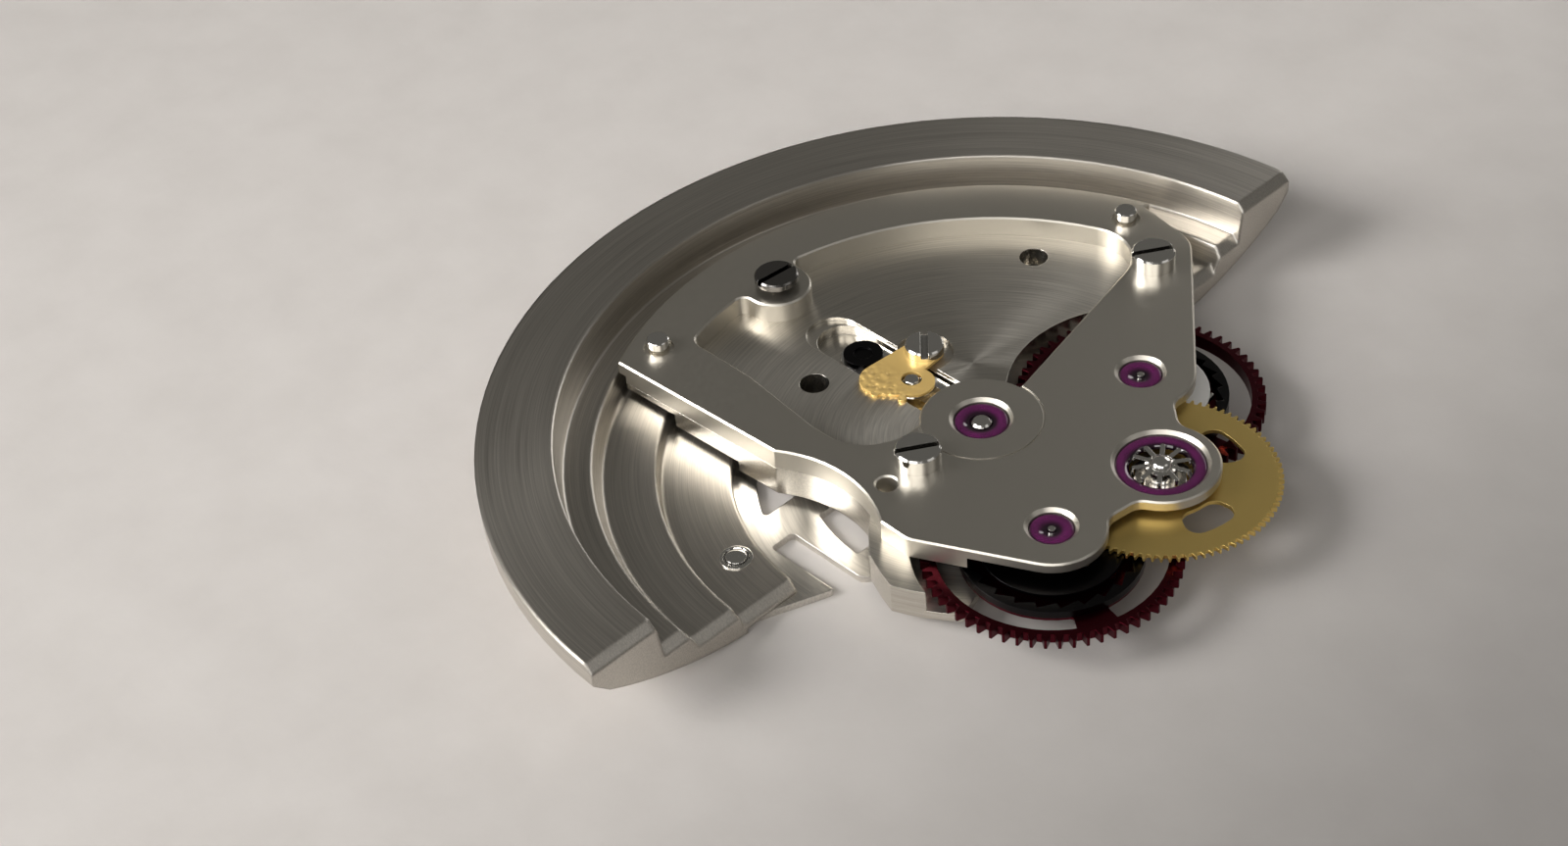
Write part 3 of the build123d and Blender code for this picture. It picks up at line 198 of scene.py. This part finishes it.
def lathe_finish(name, colour, gloss, brushed, pitch, depth, corner, hollow=0.0):
    """Metal with the fine circles that a lathe leaves round the rotor axis."""
    finish, tree, metal = new_finish(name, Base_Color=(*colour, 1), Metallic=1.0,
                                     Anisotropic=brushed, Anisotropic_Rotation=0.25)
    circles = make_node(tree, "Tangent", {"direction_type": "RADIAL", "axis": "Z"})
    where = make_node(tree, "TexCoord").outputs["Object"]
    split = make_node(tree, "SeparateXYZ", Vector=where)
    flat = make_node(tree, "CombineXYZ", X=split.outputs["X"], Y=split.outputs["Y"])
    radius = make_node(tree, "VectorMath", {"operation": "LENGTH"}, Vector=flat.outputs["Vector"])
    turn = combine(tree, "ARCTAN2", split.outputs["Y"], split.outputs["X"])
    arcs_per_radian = 2.5
    upright_share = 0.7
    wound = make_node(tree, "CombineXYZ",
                      X=combine(tree, "MULTIPLY", radius.outputs["Value"], 1 / pitch),
                      Y=combine(tree, "MULTIPLY", turn, arcs_per_radian),
                      Z=combine(tree, "MULTIPLY", split.outputs["Z"], upright_share / pitch))
    strokes = make_node(tree, "TexNoise", Vector=wound.outputs["Vector"],
                        Scale=1.0, Detail=3.0, Roughness=0.65).outputs["Fac"]
    sheen = make_node(tree, "MapRange", Value=strokes, To_Min=gloss - 0.06, To_Max=gloss + 0.08)
    stain = make_node(tree, "MapRange", Value=strokes,
                      From_Min=0.3, From_Max=0.7, To_Min=0.84, To_Max=1.16)
    lightness = stain.outputs["Result"]
    # Given a reach, painted shade darkens the metal in holes, slots and corners.
    if hollow:
        painted_depth_shade = shade_painted_in_hollows(tree, hollow, rays=8, dark_at=0.20, light_at=0.48, darkest=0.04)
        lightness = combine(tree, "MULTIPLY", lightness, painted_depth_shade)
    edge = make_node(tree, "Bevel", {"samples": 8}, Radius=corner)
    cuts = make_node(tree, "Bump", Strength=1.0, Distance=depth, Height=strokes,
                     Normal=edge.outputs["Normal"])
    feed(tree, metal, Tangent=circles.outputs["Tangent"], Roughness=sheen.outputs["Result"],
         Base_Color=scaled(tree, colour, lightness), Normal=cuts.outputs["Normal"])
    return finish


def dress(finish, *names):
    """Gives the named CAD pieces their finish."""
    for name in names:
        nodes[name].material_slots[0].material = finish


dress(lathe_finish("weight_turned", (0.61, 0.575, 0.52), gloss=0.34, brushed=0.5,
                   pitch=0.000034, depth=0.0000025, corner=0.00016), "weight_rim")

# The web: a thin stamped sheet of plated metal, which closes the middle of the rotor. It is
# riveted under the land of the weight and has a satin grain.
dress(lathe_finish("web_satin", (0.72, 0.69, 0.64), gloss=0.33, brushed=0.3,
                   pitch=0.00006, depth=0.000002, corner=0.00004), "rotor_web")


# The steel pieces: axle, staffs, pawls, pins, screws and bolt, turned or cut from hard steel and
# polished, with faint scratches of use and painted shade in their slots. The button and the
# saw-toothed rings are blackened, the right carrier is satin, the left carrier is painted black
# as shade, and the screw in the recess is coloured dark.
def polished_steel(name, colour, gloss, hollow=0.0, dark_at=0.35, light_at=0.75):
    """Metal with faint uneven gloss and softly broken edges, with painted shade in its hollows."""
    finish, tree, metal = new_finish(name, Base_Color=(*colour, 1), Metallic=1.0)
    where = make_node(tree, "TexCoord").outputs["Object"]
    haze = make_node(tree, "TexNoise", Vector=where, Scale=6000.0, Detail=4.0).outputs["Fac"]
    smoothest = 0.02
    sheen = make_node(tree, "MapRange", Value=haze,
                      To_Min=max(gloss - 0.04, smoothest), To_Max=gloss + 0.06)
    edge = make_node(tree, "Bevel", {"samples": 4}, Radius=0.00002)
    marks = make_node(tree, "Bump", Distance=0.0000006, Height=haze, Normal=edge.outputs["Normal"])
    feed(tree, metal, Roughness=sheen.outputs["Result"], Normal=marks.outputs["Normal"])
    # Given a reach, painted shade darkens the metal in its hollows.
    if hollow:
        painted_hollow_shade = shade_painted_in_hollows(tree, hollow, rays=12, dark_at=dark_at, light_at=light_at,
                                darkest=0.06)
        feed(tree, metal, Base_Color=scaled(tree, colour, painted_hollow_shade))
    return finish


# Painted shade: the screws, pins and rivets darken in their slots and hollows.
slot_reach = 0.00022
screw_steel = polished_steel("screw_steel", (0.80, 0.78, 0.74), gloss=0.12, hollow=slot_reach)
dress(screw_steel, "rotor_rivets", "rotor_axle", "rotor_gear", "bridge_screws", "clip_screw",
      "clip_pin", "steady_pins", "driving_pinion", "reverser_staff_1", "reverser_staff_2",
      "pawl_pins_1", "pawl_pins_2", "pawl_1a", "pawl_1b", "pawl_2a", "pawl_2b", "rotor_bolt")
dress(polished_steel("carrier_satin", (0.93, 0.92, 0.90), gloss=0.60), "pawl_carrier_1")
# The screw in the recess is coloured dark all over, and darker in its slot with painted shade.
dress(polished_steel("dark_screw", (0.20, 0.19, 0.18), gloss=0.18, hollow=slot_reach),
      "fixing_screw")
# Painted shade: the left carrier sits in the bridge's shade and is coloured black for it; the
# button and the rings are black steel.
dress(polished_steel("blackened_and_shaded_steel", (0.018, 0.017, 0.018), gloss=0.3),
      "bolt_stud", "ratchet_ring_1", "ratchet_ring_2", "pawl_carrier_2")


# The two plates: framework below and bridge above, milled from brass and plated grey. The bridge
# is frosted; the floor of the framework's recess is turned, so it shows fine circles. Both are
# painted darker in their holes and corners, as shade.
def smooth_walls(finish, finer_by):
    """Makes upright walls glossier than the flats, or duller where finer_by is below zero."""
    tree = finish.node_tree
    metal = tree.nodes["Principled BSDF"]
    gloss = metal.inputs["Roughness"].links[0].from_socket
    facing = make_node(tree, "SeparateXYZ", Vector=make_node(tree, "TexCoord").outputs["Normal"])
    flatness = combine(tree, "ABSOLUTE", facing.outputs["Z"])
    finer = make_node(tree, "MapRange", Value=flatness,
                      From_Min=0.3, From_Max=0.6, To_Min=-finer_by, To_Max=0.0)
    feed(tree, metal, Roughness=combine(tree, "ADD", gloss, finer.outputs["Result"]))


# Painted shade: the bridge darkens in its holes and corners.
plate_finish = polished_steel("frosted_plate", (0.65, 0.615, 0.545), gloss=0.36, hollow=0.0009,
                              dark_at=0.12, light_at=0.40)
smooth_walls(plate_finish, -0.08)
dress(plate_finish, "lower_bridge")
# Painted shade: the framework darkens in its recess corners and holes.
recess_finish = lathe_finish("recess_turned", (0.68, 0.645, 0.58), gloss=0.33, brushed=0.78,
                             pitch=0.00004, depth=0.0000016, corner=0.00003, hollow=0.0012)
smooth_walls(recess_finish, 0.12)
dress(recess_finish, "framework")

# The gilt pieces: the driving wheel and the clip over the bolt, cut from brass and gilded. The
# clip is held by its screw, and its left flank is hammered.
dress(polished_steel("gilt_wheel", (0.82, 0.60, 0.20), gloss=0.40), "driving_wheel")
clip_gilt = polished_steel("gilt_clip", (1.0, 0.69, 0.24), gloss=0.40)
clip_tree = clip_gilt.node_tree
clip_surface = clip_tree.nodes["Principled BSDF"]
clip_low, clip_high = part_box("clip_plate")
smooth_share = 0.45
beaten_share = 0.20
clip_flank_from = clip_low.x * (1 - smooth_share) + clip_high.x * smooth_share
clip_flank_to = clip_low.x * (1 - beaten_share) + clip_high.x * beaten_share
clip_place = make_node(clip_tree, "TexCoord").outputs["Object"]
clip_side = make_node(clip_tree, "SeparateXYZ", Vector=clip_place)
hammered = make_node(clip_tree, "TexVoronoi", {"feature": "SMOOTH_F1"},
                     Vector=clip_place, Scale=5200.0)
flank = make_node(clip_tree, "MapRange", Value=clip_side.outputs["X"],
                  From_Min=clip_flank_from, From_Max=clip_flank_to)
dents = combine(clip_tree, "MULTIPLY", hammered.outputs["Distance"], flank.outputs["Result"])
broken_edge = next(node for node in clip_tree.nodes if node.bl_idname == "ShaderNodeBevel")
beaten = make_node(clip_tree, "Bump", Distance=0.00012, Height=dents,
                   Normal=broken_edge.outputs["Normal"])
feed(clip_tree, clip_surface, Metallic=0.55, Normal=beaten.outputs["Normal"])
dress(clip_gilt, "clip_plate")

# The reverser wheels: two light wheels cut from aluminium and anodised dark red. Each carries a
# black saw-toothed ring, which the pawls of its staff catch.
dress(polished_steel("red_anodised", (0.075, 0.006, 0.012), gloss=0.30),
      "red_wheel_1", "red_wheel_2")


# The jewels: synthetic ruby rings, pressed into the plates. The upper ones are turned here with
# their oil cup and the small chamfer round them; the ring jewel's mouth is widely rounded. Their
# colour is painted darker below the top face, down into the cup and the sides, as shade.
def turned(name, profile, centres, steps=72):
    """Rings spun round each centre from a profile of (radius, height) in millimetres, which is
    closed unless it starts on the axis."""
    shape = bmesh.new()
    for centre in centres:
        middle = Vector((centre[0], centre[1], 0)) * millimetre
        dots = [shape.verts.new(middle + Vector((out, 0, up)) * millimetre) for out, up in profile]
        ends = dots[1:] if profile[0][0] == 0 else dots[1:] + dots[:1]
        lines = [shape.edges.new(pair) for pair in zip(dots, ends)]
        bmesh.ops.spin(shape, geom=dots + lines, cent=middle, axis=(0, 0, 1), angle=2 * pi,
                       steps=steps, use_merge=True, use_duplicate=False)
    bmesh.ops.remove_doubles(shape, verts=shape.verts, dist=same_place)
    bmesh.ops.recalc_face_normals(shape, faces=shape.faces)
    for edge in shape.edges:
        edge.smooth = edge.calc_face_angle(0) < sharp_from
    for face in shape.faces:
        face.smooth = True
    return add_piece(name, shape)


millimetre = 0.001
same_place = 0.0000002
sharp_from = radians(28)
cup_bottom = 0.00186
cup_mouth = 0.00191
ruby, ruby_tree, ruby_surface = new_finish("ruby", Roughness=0.04, IOR=1.76,
                                           Transmission_Weight=0.3)
ruby_place = make_node(ruby_tree, "TexCoord").outputs["Object"]
ruby_cloud = make_node(ruby_tree, "TexNoise", Vector=ruby_place, Scale=1500.0)
ruby_tint = two_tones(ruby_tree, ruby_cloud.outputs["Fac"],
                      0.35, (0.10, 0.008, 0.075), 0.65, (0.15, 0.012, 0.11))
ruby_height = make_node(ruby_tree, "SeparateXYZ", Vector=ruby_place)
# Painted shade: the ruby's colour fades to an eighth of itself from the cup's mouth down to its
# bottom and below.
painted_cup_shade = make_node(ruby_tree, "MapRange", Value=ruby_height.outputs["Z"],
                       From_Min=cup_bottom, From_Max=cup_mouth, To_Min=0.12)
feed(ruby_tree, ruby_surface, Base_Color=scaled(ruby_tree, ruby_tint, painted_cup_shade.outputs["Result"]))
dress(ruby, "rotor_jewel_framework", "reverser_jewels_framework", "driving_jewel_framework")
jewel_top = 1.915
jewel_foot = 1.725
reverser_1 = (4.4157, -1.9938)
reverser_2 = (-2.0007, -4.3631)
driving = (1.8362, -4.8811)
wheel_jewels = turned("wheel_jewels", (
    (0.12, jewel_foot), (0.62, jewel_foot), (0.62, jewel_top - 0.06), (0.56, jewel_top - 0.012),
    (0.53, jewel_top), (0.40, jewel_top), (0.34, jewel_top - 0.015), (0.26, jewel_top - 0.045),
    (0.19, jewel_top - 0.060), (0.12, jewel_top - 0.066)), (reverser_1, reverser_2))
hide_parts("reverser_jewels_bridge")
centre_jewel = turned("centre_jewel", (
    (0.33, jewel_foot), (0.785, jewel_foot), (0.785, jewel_top - 0.07), (0.72, jewel_top - 0.012),
    (0.68, jewel_top), (0.56, jewel_top), (0.48, jewel_top - 0.025), (0.40, jewel_top - 0.060),
    (0.33, jewel_top - 0.066)), ((0, 0),))
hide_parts("rotor_jewel_bridge")
ring_jewel = turned("ring_jewel", (
    (0.86, jewel_foot), (1.245, jewel_foot), (1.245, jewel_top - 0.05), (1.20, jewel_top - 0.015),
    (1.14, jewel_top), (1.05, jewel_top), (0.96, jewel_top - 0.02), (0.90, jewel_top - 0.055),
    (0.86, jewel_top - 0.11)), (driving,))
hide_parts("driving_ring_jewel")
for jewel in (wheel_jewels, centre_jewel, ring_jewel):
    jewel.data.materials.append(ruby)
    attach(jewel, "module")

# The driving pinion: ten slim leaves milled round a steel arbor, with a polished domed tip above
# them. It drives the watch's own train through the ring jewel.
leaf_count = 10
leaf_middle = (0.00058, 0, 0.00176)
leaf_size = (0.00046, 0.00014, 0.00040)
leaf_rounding = 0.00006
outer_from = 0.0005
upright_from = 0.0001
leaves = bmesh.new()
bmesh.ops.create_cube(leaves, size=1.0,
                      matrix=Matrix.Translation(leaf_middle) @ Matrix.Diagonal((*leaf_size, 1)))
tall = [edge for edge in leaves.edges
        if abs(edge.verts[0].co.z - edge.verts[1].co.z) > upright_from
        and edge.verts[0].co.x > outer_from]
bmesh.ops.bevel(leaves, geom=tall, offset=leaf_rounding, segments=4, profile=0.5, affect="EDGES",
                material=-1)
bmesh.ops.spin(leaves, geom=leaves.verts[:] + leaves.edges[:] + leaves.faces[:], cent=(0, 0, 0),
               axis=(0, 0, 1), angle=2 * pi * (leaf_count - 1) / leaf_count,
               steps=leaf_count - 1, use_duplicate=True)
bmesh.ops.translate(leaves, verts=leaves.verts,
                    vec=(driving[0] * millimetre, driving[1] * millimetre, 0))
bmesh.ops.recalc_face_normals(leaves, faces=leaves.faces)
pinion_leaves = add_piece("pinion_leaves", leaves)
pinion_arbor = turned("pinion_arbor", (
    (0, 0.48), (0.10, 0.48), (0.10, 0.70), (0.18, 0.70), (0.18, 1.41), (0.26, 1.41), (0.26, 1.53),
    (0.84, 1.53), (0.84, 1.555), (0.44, 1.555), (0.44, 1.90), (0.30, 1.93), (0.26, 2.02),
    (0.20, 2.08), (0.11, 2.108), (0, 2.115)), (driving,))
for piece in (pinion_leaves, pinion_arbor):
    piece.data.materials.append(screw_steel)
    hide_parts("driving_pinion")
    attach(piece, "driving")

# The rivets: three steel rivets that hold the web under the land. Each head has a low dome in a
# turned groove, and a sunk foot on the back.
rivet_circle = 7.77
rivet_angles = (16, 90, 164)
rivets = turned("domed_rivets", (
    (0, 0), (0.45, 0), (0.30, 0.10), (0.30, 0.60), (0.46, 0.60), (0.46, 0.635), (0.43, 0.650),
    (0.37, 0.650), (0.34, 0.615), (0.31, 0.615), (0.29, 0.665), (0.22, 0.695), (0.12, 0.707),
    (0, 0.71)),
    [(rivet_circle * cos(radians(angle)), rivet_circle * sin(radians(angle)))
     for angle in rivet_angles])
rivets.data.materials.append(screw_steel)
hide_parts("rotor_rivets")
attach(rivets, "rotor")
